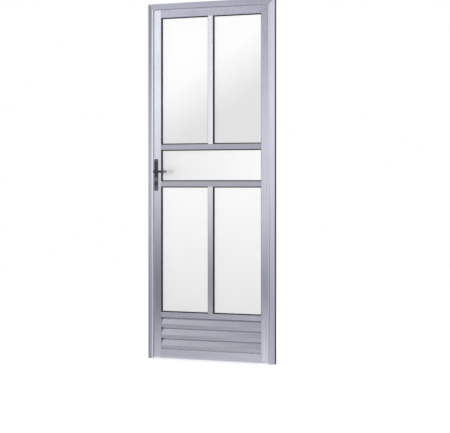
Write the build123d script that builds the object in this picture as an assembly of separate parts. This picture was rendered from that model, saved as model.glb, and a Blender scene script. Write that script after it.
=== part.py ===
from build123d import *
import os

# Aluminium swing door: a three-sided frame, a leaf with glass panes and a louvre panel, and lever
# handles. Millimetres. X = 0 is the wall face of the hinge jamb and the door runs to -X, Y = 0 is
# half the frame's depth with the front at -Y, and Z = 0 is the floor. "u" is measured from a jamb's
# wall face into the doorway, and "v" from the frame's front to its back.

# Frame: three mitred lengths of one hollow section with a stop lip along its front
frame_width = 800.0
frame_height = 2100.0
frame_depth = 30.0
jamb_tube = 22.0
frame_wall = 1.5
lip_reach = 12.0
lip_back = 2.5
bead_start = 20.0
bead_rise = 1.0
face_fall = 3.5

# Stop seal, glued behind the lip
seal_width = 3.5
seal_inset = 0.6
seal_clearance = 0.3

# Leaf: hollow bars, each with a glazing leg along the front of its inner edges
leaf_front = 5.0
leaf_side_gap = 7.0
leaf_top_gap = 7.0
leaf_floor_gap = 5.0
leaf_wall = 1.5
leg_reach = 11.0
leg_depth = 10.0
stile_face = 54.0
top_rail_face = 55.0
cross_face = 31.0
bottom_rail_face = 52.0
edge_slope = 11.0
edge_fall = 2.0
edge_chamfer = 0.6

# Heights of the cross bars' centres
upper_rail_height = 1251.0
lower_rail_height = 1034.0
louvre_rail_height = 261.0

# Glass, its gaskets and its snap-in beads
gasket_thickness = 2.0
gasket_show = 6.0
glass_thickness = 4.0
glass_edge_gap = 3.0
bead_wall = 1.2
bead_chamfer = 1.6
bead_end_gap = 0.3

# Louvre panel
slat_count = 3
slat_sheet = 1.5
slat_bend = 2.0
slat_lip = 20.0
slat_lip_depth = 7.0
slat_back_depth = 24.0
slat_flange = 6.0
slat_return = 6.0
slat_hook = 5.0
slat_overlap = 6.0
slat_drip_gap = 4.0
slat_end_gap = 0.2

# Butt hinges on the back
hinge_heights = (250.0, 1050.0, 1850.0)
hinge_height = 80.0
hinge_plate = 2.5
hinge_axis_rise = 6.0
knuckle_radius = 5.0
knuckle_gap = 0.5
pin_radius = 2.5
pin_clearance = 0.05
pin_head_radius = 4.2
pin_head_height = 2.5
pin_tail = 1.0
frame_hinge_width = 18.5
leaf_hinge_width = 30.0
hinge_plate_setback = 5.0

# Lock, strike plate and handles
handle_inset = 52.5
spindle_height = 1107.0
cylinder_drop = 71.0
plate_width = 24.0
plate_height = 190.0
plate_rise = 75.0
plate_thickness = 7.0
plate_corner = 9.0
plate_crown = 2.5
plate_edge_chamfer = 0.8
plate_wall = 2.0
plate_front_wall = 3.5
boss_radius = 11.2
hub_radius = 8.0
hub_clearance = 0.08
hub_seat = 4.5
hub_length = 16.0
hub_chamfer = 1.0
spindle_side = 8.0
spindle_clearance = 0.1
spindle_hole_radius = 7.0
socket_depth = 18.0
socket_end_gap = 1.0
neck_root = 2.0
lever_reach = 85.0
lever_rise = 42.0
lever_bend = 12.0
lever_arch = 5.0
lever_half_height = 6.5
lever_half_depth = 4.5
lever_tip_round = 3.0
cylinder_radius = 8.5
cylinder_clearance = 0.1
cylinder_proud = 1.5
key_slot_width = 1.4
key_slot_height = 8.0
key_slot_depth = 4.0
lock_bore_clearance = 0.5
forend_width = 16.0
forend_height = 190.0
forend_clearance = 0.15
forend_relief = 0.5
case_thickness = 15.0
case_depth = 34.0
case_height = 140.0
bolt_width = 11.0
bolt_height = 22.0
bolt_recess = 1.0
latch_rise = 5.5
strike_thickness = 1.2
strike_width = 20.0
strike_height = 150.0
strike_corner = 4.0

# Screw holes that fix the jambs to the wall
fixing_heights = (150.0, 750.0, 1350.0, 1950.0)
fixing_radius = 3.25
fixing_access_radius = 6.0

# How far a cut runs past the face where it starts
overcut = 1.0

# Positions worked out from the sizes above
sight_inset = jamb_tube + leaf_side_gap + stile_face
clear_left = sight_inset - frame_width
clear_right = -sight_inset
clear_width = clear_right - clear_left
leaf_top = frame_height - jamb_tube - leaf_top_gap
top_sight = leaf_top - top_rail_face
bottom_sight = leaf_floor_gap + bottom_rail_face
leg_back = leaf_front + leg_depth
glass_front = leg_back + gasket_thickness
glass_back = glass_front + glass_thickness
bead_front = glass_back + gasket_thickness
hinge_axis_u = jamb_tube + leaf_side_gap / 2
hinge_axis_v = frame_depth + hinge_axis_rise
spindle_x = handle_inset - frame_width
cylinder_height = spindle_height - cylinder_drop
door_centre_x = -frame_width / 2
plate_front = leaf_front - plate_thickness
hub_back = plate_front + hub_seat
leaf_middle_v = (leaf_front + frame_depth) / 2

PARTS = {}


def y_at(v):
    """World Y of a depth measured back from the frame's front."""
    return v - frame_depth / 2


def from_hinge_side(u, z=0.0):
    """Section plane of a vertical bar on the hinge side: x runs into the doorway, y to the back."""
    return Plane(origin=(-u, y_at(0), z), x_dir=(-1, 0, 0), z_dir=(0, 0, -1))


def from_latch_side(u, z=0.0):
    """The same on the latch side."""
    return Plane(origin=(u - frame_width, y_at(0), z), x_dir=(1, 0, 0), z_dir=(0, 0, 1))


def facing_down(x, z):
    """Section plane of a level bar whose x runs down and whose length runs to +X."""
    return Plane(origin=(x, y_at(0), z), x_dir=(0, 0, -1), z_dir=(1, 0, 0))


def facing_up(x, z):
    """Section plane of a level bar whose x runs up and whose length runs to -X."""
    return Plane(origin=(x, y_at(0), z), x_dir=(0, 0, 1), z_dir=(-1, 0, 0))


def block(x_range, v_range, z_range):
    """A box between two values of X, of depth v and of Z."""
    low = (min(x_range), y_at(min(v_range)), min(z_range))
    high = (max(x_range), y_at(max(v_range)), max(z_range))
    sizes = [h - l for l, h in zip(low, high)]
    middle = [(h + l) / 2 for l, h in zip(low, high)]
    return Pos(*middle) * Box(*sizes)


def rod_along_x(radius, x_range, v, z):
    """A round rod along X."""
    length = max(x_range) - min(x_range)
    centre = (max(x_range) + min(x_range)) / 2
    return Pos(centre, y_at(v), z) * Rot(0, 90, 0) * Cylinder(radius, length)


def rod_along_y(radius, x, v_range, z):
    """A round rod along Y."""
    length = max(v_range) - min(v_range)
    centre = (max(v_range) + min(v_range)) / 2
    return Pos(x, y_at(centre), z) * Rot(90, 0, 0) * Cylinder(radius, length)


def frame_section():
    """Hollow jamb section: a face that falls away to the wall, a convex bead and a stop lip."""
    lip_edge = jamb_tube + lip_reach
    wall_edge = bead_rise + face_fall
    with BuildSketch() as section:
        with BuildLine():
            Line((0, wall_edge), (bead_start, bead_rise))
            ThreePointArc(
                (bead_start, bead_rise),
                ((bead_start + lip_edge) / 2, 0),
                (lip_edge, bead_rise),
            )
            Polyline(
                (lip_edge, bead_rise),
                (lip_edge, lip_back),
                (jamb_tube, lip_back),
                (jamb_tube, frame_depth),
                (0, frame_depth),
                (0, wall_edge),
            )
        make_face()
        with BuildLine():
            Polyline(
                (frame_wall, wall_edge + frame_wall),
                (jamb_tube - frame_wall, bead_rise + frame_wall),
                (jamb_tube - frame_wall, frame_depth - frame_wall),
                (frame_wall, frame_depth - frame_wall),
                close=True,
            )
        make_face(mode=Mode.SUBTRACT)
    return section.sketch


def mitre(side_x, direction):
    """Plane through a top corner at 45 degrees, its normal on the jamb's side."""
    return Plane(origin=(side_x, 0, frame_height), z_dir=(direction, 0, -1))


def wall_fixings(wall_x, inward):
    """Screw holes through both walls of a jamb's tube, the inner ones large enough for the head."""
    middle_v = frame_depth / 2
    holes = []
    for height in fixing_heights:
        outer = (wall_x - inward, wall_x + inward * jamb_tube / 2)
        inner = (wall_x + inward * jamb_tube / 2, wall_x + inward * (jamb_tube + overcut))
        holes.append(rod_along_x(fixing_radius, outer, middle_v, height))
        holes.append(rod_along_x(fixing_access_radius, inner, middle_v, height))
    return holes


def frame_parts():
    """Two jambs and the head, mitred at the top corners."""
    section = frame_section()
    hinge_mitre = mitre(0, 1)
    latch_mitre = mitre(-frame_width, -1)
    hinge_jamb = extrude(from_hinge_side(0, frame_height) * section, frame_height)
    hinge_jamb = split(hinge_jamb, bisect_by=hinge_mitre, keep=Keep.TOP)
    latch_jamb = extrude(from_latch_side(0) * section, frame_height)
    latch_jamb = split(latch_jamb, bisect_by=latch_mitre, keep=Keep.TOP)
    head = extrude(facing_down(-frame_width, frame_height) * section, frame_width)
    head = split(head, bisect_by=hinge_mitre, keep=Keep.BOTTOM)
    head = split(head, bisect_by=latch_mitre, keep=Keep.BOTTOM)
    PARTS["hinge_jamb"] = hinge_jamb - wall_fixings(0, -1)
    PARTS["latch_jamb"] = latch_jamb - wall_fixings(-frame_width, 1) - strike_windows()
    PARTS["frame_head"] = head


def leaf_face_depth(u):
    """Depth of the leaf's front near its outer edge, where it slopes back."""
    edge_u = jamb_tube + min(leaf_side_gap, leaf_top_gap)
    across = min(max(u - edge_u, 0), edge_slope)
    return leaf_front + edge_fall * (1 - across / edge_slope)


def seal_section(start):
    """Round-backed seal that stands on the back of the lip and stops just short of the leaf."""
    height = leaf_face_depth(start + seal_width / 2) - seal_clearance - lip_back
    with BuildSketch() as section:
        with BuildLine():
            Line((start, lip_back), (start + seal_width, lip_back))
            ThreePointArc(
                (start + seal_width, lip_back),
                (start + seal_width / 2, lip_back + height),
                (start, lip_back),
            )
        make_face()
    return section.sketch


def stop_seals():
    """Seals on both jambs and the head."""
    inset = jamb_tube + lip_reach - seal_inset - seal_width
    section = seal_section(inset)
    side_length = frame_height - inset - seal_width - seal_inset
    top_length = frame_width - 2 * inset
    hinge_seal = extrude(from_hinge_side(0, side_length) * section, side_length)
    latch_seal = extrude(from_latch_side(0) * section, side_length)
    top_seal = extrude(facing_down(inset - frame_width, frame_height) * section, top_length)
    PARTS["stop_seals"] = Compound(children=[hinge_seal, latch_seal, top_seal])


def bolt_openings():
    """Heights of the centres of the latch and the dead bolt."""
    return (spindle_height + latch_rise, cylinder_height)


def strike_windows():
    """Openings for the bolts through the strike plate and the jamb wall behind it."""
    low_x = jamb_tube - frame_width - frame_wall - overcut
    high_x = low_x + frame_wall + strike_thickness + 2 * overcut
    v_range = lock_range(bolt_width / 2)
    windows = []
    for height in bolt_openings():
        z_range = (height - bolt_height / 2, height + bolt_height / 2)
        windows.append(block((low_x, high_x), v_range, z_range))
    return windows


def strike_plate():
    """Flat plate on the latch jamb with a window for each bolt."""
    low_x = jamb_tube - frame_width
    plate = block(
        (low_x, low_x + strike_thickness),
        lock_range(strike_width / 2),
        (lock_middle() - strike_height / 2, lock_middle() + strike_height / 2),
    )
    corners = plate.edges().filter_by(Axis.X)
    plate = fillet(corners, strike_corner)
    PARTS["strike_plate"] = plate - strike_windows()


def bar_section(face, leg_at_start, leg_at_end):
    """Hollow leaf bar: x across its face, y its depth, each edge a glazing leg or a sloping face."""
    start = leg_reach if leg_at_start else 0.0
    end = face - leg_reach if leg_at_end else face
    if leg_at_start:
        points = [(0, leg_back), (0, leaf_front)]
    else:
        points = [(0, leaf_front + edge_fall), (edge_slope, leaf_front)]
    points.append((face, leaf_front))
    if leg_at_end:
        points += [(face, leg_back), (end, leg_back)]
    points += [(end, frame_depth), (start, frame_depth)]
    if leg_at_start:
        points.append((start, leg_back))
    with BuildSketch() as section:
        with BuildLine():
            Polyline(*points, close=True)
        make_face()
        inner = offset(amount=-leaf_wall, kind=Kind.INTERSECTION, mode=Mode.PRIVATE)
        sides = section.vertices().group_by(Axis.X)
        chamfer([side.sort_by(Axis.Y)[0] for side in (sides[0], sides[-1])], edge_chamfer)
        add(inner, mode=Mode.SUBTRACT)
    return section.sketch


def coped_bar(section, plane, clear_length, face):
    """A bar between two others: its back runs on behind their glazing legs, its front stops short."""
    start = plane.offset(-leg_reach)
    bar = extrude(start * section, clear_length + 2 * leg_reach)
    cope = Box(face + 2 * overcut, leg_back + overcut, leg_reach, align=(Align.MIN, Align.MIN, Align.MIN))
    for offset_along in (0, clear_length + leg_reach):
        bar -= start.offset(offset_along) * Pos(-overcut, -overcut, 0) * cope
    return bar


def end_bevels():
    """Wedges that carry the sloping edge of the top and the bottom rail across the stiles' ends."""
    with BuildSketch() as section:
        with BuildLine():
            Polyline(
                (-overcut, leaf_front - overcut),
                (edge_slope, leaf_front - overcut),
                (edge_slope, leaf_front),
                (0, leaf_front + edge_fall),
                (-overcut, leaf_front + edge_fall),
                close=True,
            )
        make_face()
    top = extrude(facing_down(-frame_width, leaf_top) * section.sketch, frame_width)
    bottom = extrude(facing_up(0, leaf_floor_gap) * section.sketch, frame_width)
    return [top, bottom]


def stiles():
    """Full-height bars on both sides, the latch stile cut for the lock."""
    section = bar_section(stile_face, False, True)
    inset = jamb_tube + leaf_side_gap
    length = leaf_top - leaf_floor_gap
    hinge_stile = extrude(from_hinge_side(inset, leaf_top) * section, length) - end_bevels()
    latch_stile = extrude(from_latch_side(inset, leaf_floor_gap) * section, length) - end_bevels()
    latch_stile -= block(
        (inset - frame_width - overcut, inset - frame_width + leaf_wall + forend_relief),
        lock_range(forend_width / 2 + forend_clearance),
        (lock_middle() - forend_half() - forend_clearance, lock_middle() + forend_half() + forend_clearance),
    )
    latch_stile -= lock_windows()
    PARTS["hinge_stile"] = hinge_stile
    PARTS["latch_stile"] = latch_stile


def rails():
    """Top rail, three cross rails and the bottom rail between the stiles."""
    top_section = bar_section(top_rail_face, False, True)
    cross_section = bar_section(cross_face, True, True)
    bottom_section = bar_section(bottom_rail_face, False, True)
    top_plane = facing_down(clear_left, leaf_top)
    PARTS["top_rail"] = coped_bar(top_section, top_plane, clear_width, top_rail_face)
    bottom_plane = facing_up(clear_right, leaf_floor_gap)
    PARTS["bottom_rail"] = coped_bar(bottom_section, bottom_plane, clear_width, bottom_rail_face)
    heights = {
        "upper_cross_rail": upper_rail_height,
        "lower_cross_rail": lower_rail_height,
        "louvre_head_rail": louvre_rail_height,
    }
    for name, height in heights.items():
        plane = facing_down(clear_left, height + cross_face / 2)
        PARTS[name] = coped_bar(cross_section, plane, clear_width, cross_face)


def glazed_rows():
    """Sight lines of the three glazed rows as name, bottom, top and number of panes."""
    half = cross_face / 2
    return (
        ("upper", upper_rail_height + half, top_sight, 2),
        ("middle", lower_rail_height + half, upper_rail_height - half, 1),
        ("lower", louvre_rail_height + half, lower_rail_height - half, 2),
    )


def mullions():
    """Central uprights of the upper and the lower glazed row."""
    section = bar_section(cross_face, True, True)
    for name, bottom, top, count in glazed_rows():
        if count == 2:
            plane = from_latch_side(frame_width / 2 - cross_face / 2, bottom)
            PARTS[name + "_mullion"] = coped_bar(section, plane, top - bottom, cross_face)


def pane_openings():
    """Every glazed opening as node name, left, right, bottom and top sight line."""
    openings = []
    half = cross_face / 2
    for row, bottom, top, count in glazed_rows():
        if count == 1:
            openings.append((row + "_pane", clear_left, clear_right, bottom, top))
        else:
            openings.append((row + "_left_pane", clear_left, door_centre_x - half, bottom, top))
            openings.append((row + "_right_pane", door_centre_x + half, clear_right, bottom, top))
    return openings


def sheet_at(v, left, right, bottom, top, margin):
    """Rectangle at a depth, larger than an opening by a margin on every side."""
    plane = Plane(
        origin=((left + right) / 2, y_at(v), (bottom + top) / 2), x_dir=(1, 0, 0), z_dir=(0, 1, 0)
    )
    return plane * Rectangle(right - left + 2 * margin, top - bottom + 2 * margin)


def gasket_ring(opening, seat_v, glass_v):
    """Gasket round a pane: it slopes from the bar's edge down to the glass."""
    margin = leg_reach - glass_edge_gap
    lower = min(seat_v, glass_v)
    ring = extrude(sheet_at(lower, *opening, margin), gasket_thickness, dir=(0, 1, 0))
    hole = loft(
        [sheet_at(seat_v, *opening, 0), sheet_at(glass_v, *opening, -gasket_show)],
        ruled=True,
    )
    return ring - hole


def glass_and_gaskets():
    """A sheet of glass for each opening, between a front and a back gasket."""
    front_rings = []
    back_rings = []
    for name, *opening in pane_openings():
        margin = leg_reach - glass_edge_gap
        glass = extrude(sheet_at(glass_front, *opening, margin), glass_thickness, dir=(0, 1, 0))
        PARTS[name] = glass
        front_rings.append(gasket_ring(opening, leg_back, glass_front))
        back_rings.append(gasket_ring(opening, bead_front, glass_back))
    PARTS["front_gaskets"] = Compound(children=front_rings)
    PARTS["back_gaskets"] = Compound(children=back_rings)


def bead_section():
    """Hollow snap-in bead: x from the bar's core to the sight line, y to the leaf's back."""
    with BuildSketch() as section:
        with BuildLine():
            Polyline(
                (0, bead_front),
                (leg_reach, bead_front),
                (leg_reach, frame_depth),
                (0, frame_depth),
                close=True,
            )
        make_face()
        inner = offset(amount=-bead_wall, kind=Kind.INTERSECTION, mode=Mode.PRIVATE)
        corner = section.vertices().group_by(Axis.X)[-1].sort_by(Axis.Y)[-1]
        chamfer(corner, bead_chamfer)
        add(inner, mode=Mode.SUBTRACT)
    return section.sketch


def beads_round(left, right, bottom, top):
    """Four beads round an opening: level ones right across, upright ones between them."""
    section = bead_section()
    full = right - left + 2 * leg_reach - 2 * bead_end_gap
    upright = top - bottom - 2 * bead_end_gap
    start_x = left - leg_reach + bead_end_gap
    end_x = right + leg_reach - bead_end_gap
    low_z = bottom + bead_end_gap
    high_z = top - bead_end_gap
    from_left = Plane(origin=(left - leg_reach, y_at(0), low_z), x_dir=(1, 0, 0), z_dir=(0, 0, 1))
    from_right = Plane(origin=(right + leg_reach, y_at(0), high_z), x_dir=(-1, 0, 0), z_dir=(0, 0, -1))
    return [
        extrude(facing_down(start_x, top + leg_reach) * section, full),
        extrude(facing_up(end_x, bottom - leg_reach) * section, full),
        extrude(from_left * section, upright),
        extrude(from_right * section, upright),
    ]


def glazing_beads():
    """The beads of each glazed row."""
    for row, *_ in glazed_rows():
        beads = []
        for name, *opening in pane_openings():
            if name.startswith(row):
                beads += beads_round(*opening)
        PARTS[row + "_glazing_beads"] = Compound(children=beads)


def louvre_bounds():
    """Bottom and top sight line of the louvre panel."""
    return bottom_sight, louvre_rail_height - cross_face / 2


def louvre_channels():
    """Hollow bars that close the stiles' rebates beside the slats."""
    bottom, top = louvre_bounds()
    low = bottom - leg_reach + slat_end_gap
    high = top + leg_reach - slat_end_gap
    channels = []
    for left in (clear_left - leg_reach, clear_right):
        outer = block((left, left + leg_reach), (leg_back, frame_depth), (low, high))
        inner = block(
            (left + leaf_wall, left + leg_reach - leaf_wall),
            (leg_back + leaf_wall, frame_depth - leaf_wall),
            (low - overcut, high + overcut),
        )
        channels.append(outer - inner)
    PARTS["louvre_channels"] = Compound(children=channels)


def slat_section(bottom, top):
    """Bent sheet: top flange, sloping blade, upright front lip, return and inner hook."""
    front = y_at(slat_lip_depth)
    back = y_at(slat_back_depth)
    path = FilletPolyline(
        (back, top),
        (back, top - slat_flange),
        (front, bottom + slat_lip),
        (front, bottom),
        (front + slat_return, bottom),
        (front + slat_return, bottom + slat_hook),
        radius=slat_bend,
    )
    outline = offset(path, slat_sheet, side=Side.LEFT)
    return make_face(outline)


def slats():
    """Three slats, each with its top flange behind the lip of the one above."""
    bottom, top = louvre_bounds()
    pitch = (top - bottom) / slat_count
    length = clear_width - 2 * slat_end_gap
    for index, name in enumerate(("top_slat", "middle_slat", "bottom_slat")):
        slat_top = top - index * pitch + slat_overlap
        slat_bottom = top - (index + 1) * pitch + slat_drip_gap
        plane = Plane(origin=(clear_left + slat_end_gap, 0, 0), x_dir=(0, 1, 0), z_dir=(1, 0, 0))
        PARTS[name] = extrude(plane * slat_section(slat_bottom, slat_top), length)


def knuckle(z_range):
    """One drilled knuckle of a hinge."""
    length = max(z_range) - min(z_range)
    middle = (max(z_range) + min(z_range)) / 2
    place = Pos(-hinge_axis_u, y_at(hinge_axis_v), middle)
    bore = Cylinder(pin_radius + pin_clearance, length + 2 * overcut)
    return place * Cylinder(knuckle_radius, length), place * bore


def hinge_leaf(plate_u_range, tongue_u, z_ranges, low, high):
    """Screwed plate with a tongue to each of its knuckles."""
    v_range = (frame_depth, frame_depth + hinge_plate)
    x_range = [-u for u in plate_u_range]
    leaf = block(x_range, v_range, (low, high))
    bores = []
    for z_range in z_ranges:
        leaf += block((-tongue_u, -hinge_axis_u), v_range, z_range)
        barrel, bore = knuckle(z_range)
        leaf += barrel
        bores.append(bore)
    return leaf - bores


def hinges():
    """Three butt hinges: two knuckles on the frame, one on the leaf, and a headed pin."""
    frame_leaves = []
    door_leaves = []
    pins = []
    third = hinge_height / 3
    for middle in hinge_heights:
        low = middle - hinge_height / 2
        high = middle + hinge_height / 2
        inner_low = low + third
        inner_high = high - third
        frame_edge = hinge_axis_u - hinge_plate_setback
        leaf_edge = hinge_axis_u + hinge_plate_setback
        outer_ranges = ((low, inner_low - knuckle_gap / 2), (inner_high + knuckle_gap / 2, high))
        inner_ranges = ((inner_low + knuckle_gap / 2, inner_high - knuckle_gap / 2),)
        frame_leaves.append(
            hinge_leaf((frame_edge - frame_hinge_width, frame_edge), frame_edge, outer_ranges, low, high)
        )
        door_leaves.append(
            hinge_leaf((leaf_edge, leaf_edge + leaf_hinge_width), leaf_edge, inner_ranges, low, high)
        )
        place = Pos(-hinge_axis_u, y_at(hinge_axis_v), middle)
        pin = place * Cylinder(pin_radius, hinge_height + 2 * pin_tail)
        cap = place * Pos(0, 0, hinge_height / 2 + pin_head_height / 2) * Cylinder(
            pin_head_radius, pin_head_height
        )
        pins.append(pin + cap)
    PARTS["frame_hinge_leaves"] = Compound(children=frame_leaves)
    PARTS["door_hinge_leaves"] = Compound(children=door_leaves)
    PARTS["hinge_pins"] = Compound(children=pins)


def lock_middle():
    """Height of the middle of the lock's forend."""
    return (spindle_height + cylinder_height) / 2


def forend_half():
    """Half the forend's height."""
    return forend_height / 2


def lock_range(half):
    """Depth range about the middle of the leaf."""
    return (leaf_middle_v - half, leaf_middle_v + half)


def lock_holes():
    """Height and radius of the holes round the spindle and the key cylinder."""
    return (
        (spindle_height, spindle_hole_radius),
        (cylinder_height, cylinder_radius + lock_bore_clearance),
    )


def lock_windows():
    """Square windows milled through the latch stile where the spindle and the cylinder pass."""
    windows = []
    for height, radius in lock_holes():
        windows.append(
            block(
                (spindle_x - radius, spindle_x + radius),
                (leaf_front - overcut, frame_depth + overcut),
                (height - radius, height + radius),
            )
        )
    return windows


def mortise_lock():
    """Forend in the leaf's edge with the lock case behind it, its bolts drawn in."""
    edge_x = jamb_tube + leaf_side_gap - frame_width
    middle = lock_middle()
    forend = block(
        (edge_x, edge_x + leaf_wall),
        lock_range(forend_width / 2),
        (middle - forend_half(), middle + forend_half()),
    )
    case = block(
        (edge_x + leaf_wall, edge_x + leaf_wall + case_depth),
        lock_range(case_thickness / 2),
        (middle - case_height / 2, middle + case_height / 2),
    )
    lock = forend + case
    for height in bolt_openings():
        lock -= block(
            (edge_x - overcut, edge_x + bolt_recess),
            lock_range(bolt_width / 2),
            (height - bolt_height / 2, height + bolt_height / 2),
        )
    through = (leaf_front, frame_depth)
    for height, radius in lock_holes():
        lock -= rod_along_y(radius, spindle_x, through, height)
    PARTS["mortise_lock"] = lock


def outward(front):
    """Turns a piece made for the front of the leaf to its back when asked."""
    if front:
        return lambda piece: piece
    mirror_plane = Plane(origin=(0, y_at(leaf_middle_v), 0), x_dir=(1, 0, 0), z_dir=(0, 1, 0))
    return lambda piece: mirror(piece, about=mirror_plane)


def handle_plate():
    """Long cast plate, crowned in front and hollow behind, with bosses for the hub and the cylinder."""
    middle_z = spindle_height + plate_rise - plate_height / 2
    back = Plane(origin=(spindle_x, y_at(leaf_front), middle_z), x_dir=(1, 0, 0), z_dir=(0, -1, 0))
    plate = extrude(back * RectangleRounded(plate_width, plate_height, plate_corner), plate_thickness)
    crown_radius = ((plate_width / 2) ** 2 + plate_crown**2) / (2 * plate_crown)
    crown = Cylinder(crown_radius, plate_height + 2 * overcut)
    plate &= Pos(spindle_x, y_at(plate_front + crown_radius), middle_z) * crown
    front = plate.faces().filter_by(GeomType.CYLINDER).sort_by(SortBy.AREA)[-1]
    plate = chamfer(front.edges(), plate_edge_chamfer)
    pocket = RectangleRounded(
        plate_width - 2 * plate_wall, plate_height - 2 * plate_wall, plate_corner - plate_wall
    )
    plate -= extrude(back * pocket, plate_thickness - plate_front_wall)
    for height, radius in (
        (spindle_height, hub_radius + hub_clearance),
        (cylinder_height, cylinder_radius + cylinder_clearance),
    ):
        plate += rod_along_y(boss_radius, spindle_x, (plate_front + plate_crown, leaf_front), height)
        plate -= rod_along_y(
            radius, spindle_x, (plate_front - overcut, leaf_front + overcut), height
        )
    return plate


def lever_path():
    """Centre line of the lever in plan: straight out, round a bend, and an arch back at the tip."""
    root = Vector(spindle_x, y_at(plate_front - hub_length + neck_root), spindle_height)
    bend_start = Vector(spindle_x, y_at(plate_front - lever_rise + lever_bend), spindle_height)
    tip = Vector(
        spindle_x + lever_reach,
        y_at(plate_front - lever_rise + lever_arch),
        spindle_height,
    )
    with BuildLine() as path:
        neck = Line(root, bend_start)
        bend = JernArc(neck @ 1, neck % 1, lever_bend, 90)
        TangentArc(bend @ 1, tip, tangent=bend % 1)
    return path.line


def lever():
    """Lever in one piece: a round hub, and an oval bar that bends, arches and ends round."""
    hub_front = plate_front - hub_length
    hub = rod_along_y(hub_radius, spindle_x, (hub_front, hub_back), spindle_height)
    hub = chamfer(hub.edges().sort_by(Axis.Y)[0], hub_chamfer)
    path = lever_path()
    section = Plane(origin=path @ 0, x_dir=(1, 0, 0), z_dir=(0, -1, 0))
    bar = sweep(section * Ellipse(lever_half_depth, lever_half_height), path)
    bar = fillet(bar.faces().sort_by(Axis.X)[-1].edges(), lever_tip_round)
    socket_half = spindle_side / 2 + spindle_clearance
    socket = block(
        (spindle_x - socket_half, spindle_x + socket_half),
        (hub_back - socket_depth, hub_back + overcut),
        (spindle_height - socket_half, spindle_height + socket_half),
    )
    return hub + bar - socket


def spindle():
    """Square bar that runs from one lever's socket to the other's."""
    front_v = hub_back - socket_depth + socket_end_gap
    back_v = leaf_front + frame_depth - front_v
    return block(
        (spindle_x - spindle_side / 2, spindle_x + spindle_side / 2),
        (front_v, back_v),
        (spindle_height - spindle_side / 2, spindle_height + spindle_side / 2),
    )


def key_cylinder():
    """Round cylinder through both plates, with a key slot in each end."""
    front_v = plate_front - cylinder_proud
    back_v = leaf_front + frame_depth - front_v
    cylinder = rod_along_y(cylinder_radius, spindle_x, (front_v, back_v), cylinder_height)
    for face_v, inward in ((front_v, 1), (back_v, -1)):
        cylinder -= block(
            (spindle_x - key_slot_width / 2, spindle_x + key_slot_width / 2),
            (face_v - inward * overcut, face_v + inward * key_slot_depth),
            (cylinder_height - key_slot_height / 2, cylinder_height + key_slot_height / 2),
        )
    return cylinder


def handles():
    """Plates and levers on both faces, with the spindle and the key cylinder through them."""
    for side, front in (("outer", True), ("inner", False)):
        place = outward(front)
        PARTS[side + "_handle_plate"] = place(handle_plate())
        PARTS[side + "_lever"] = place(lever())
    PARTS["spindle"] = spindle()
    PARTS["key_cylinder"] = key_cylinder()


def main():
    frame_parts()
    stop_seals()
    strike_plate()
    stiles()
    rails()
    mullions()
    glass_and_gaskets()
    glazing_beads()
    louvre_channels()
    slats()
    hinges()
    mortise_lock()
    handles()
    os.makedirs("parts", exist_ok=True)
    for name, shape in PARTS.items():
        export_step(shape, os.path.join("parts", name + ".step"))


main()
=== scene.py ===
import math
import bpy
import numpy as np
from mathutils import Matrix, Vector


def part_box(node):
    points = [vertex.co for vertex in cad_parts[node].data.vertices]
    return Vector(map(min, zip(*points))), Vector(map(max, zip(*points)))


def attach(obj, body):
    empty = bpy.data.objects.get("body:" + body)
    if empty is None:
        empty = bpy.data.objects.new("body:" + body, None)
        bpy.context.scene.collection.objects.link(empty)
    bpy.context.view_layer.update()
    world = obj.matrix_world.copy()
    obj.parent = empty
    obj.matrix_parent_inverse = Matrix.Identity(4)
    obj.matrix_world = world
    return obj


# Looks of an aluminium swing door with glass panes over a louvre panel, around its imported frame.
# Metres: X = 0 is the wall face of the hinge jamb, the front faces -Y, and the floor is Z = 0.
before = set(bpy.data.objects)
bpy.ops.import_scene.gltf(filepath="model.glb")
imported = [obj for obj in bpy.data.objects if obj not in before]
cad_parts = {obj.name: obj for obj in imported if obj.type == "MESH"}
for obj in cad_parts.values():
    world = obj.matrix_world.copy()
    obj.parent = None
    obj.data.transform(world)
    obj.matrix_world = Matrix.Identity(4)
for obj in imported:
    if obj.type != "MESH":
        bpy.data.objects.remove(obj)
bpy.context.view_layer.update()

# Camera
# Stands level at half the door's height, to its right, and turned left towards it. The lens is shifted
# instead of tilted, which keeps the uprights parallel.
picture_width = 450.0
view_yaw = math.radians(22.3)
eye_side = 3.081
eye_distance = 7.282
eye_height = 1.037
focal_pixels = 1356.7
sensor_width = 36.0
horizon_rise_pixels = 33.1

head_low, head_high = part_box("frame_head")
door_middle_x = (head_low[0] + head_high[0]) / 2
frame_front_y = head_low[1]

camera_data = bpy.data.cameras.new("camera")
camera_data.sensor_width = sensor_width
camera_data.lens = focal_pixels / picture_width * sensor_width
camera_data.shift_y = -horizon_rise_pixels / picture_width
camera = bpy.data.objects.new("camera", camera_data)
camera.location = (door_middle_x + eye_side, frame_front_y - eye_distance, eye_height)
camera.rotation_euler = (math.pi / 2, 0, view_yaw)
bpy.context.collection.objects.link(camera)
bpy.context.scene.camera = camera
bpy.context.scene.view_settings.view_transform = "Standard"

# Studio surround
# A pale tent that is white where the picture and the glass look through to it. What metal mirrors
# are its walls: brighter above the middle, with a darker belt below it, and a dark flag behind.


def node(tree, kind, place, **values):
    """A node of a kind, with its properties or input values set by name."""
    made = tree.nodes.new(kind)
    made.location = place
    for name, value in values.items():
        if name in made.inputs:
            made.inputs[name].default_value = value
        else:
            setattr(made, name, value)
    return made


def maths(tree, operation, first, second=None, third=None, place=(0, 0), clamp=False):
    """A Math node whose inputs are sockets or numbers."""
    made = node(tree, "ShaderNodeMath", place, operation=operation, use_clamp=clamp)
    for index, source in enumerate((first, second, third)):
        if isinstance(source, bpy.types.NodeSocket):
            tree.links.new(source, made.inputs[index])
        elif source is not None:
            made.inputs[index].default_value = source
    return made.outputs[0]


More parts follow.
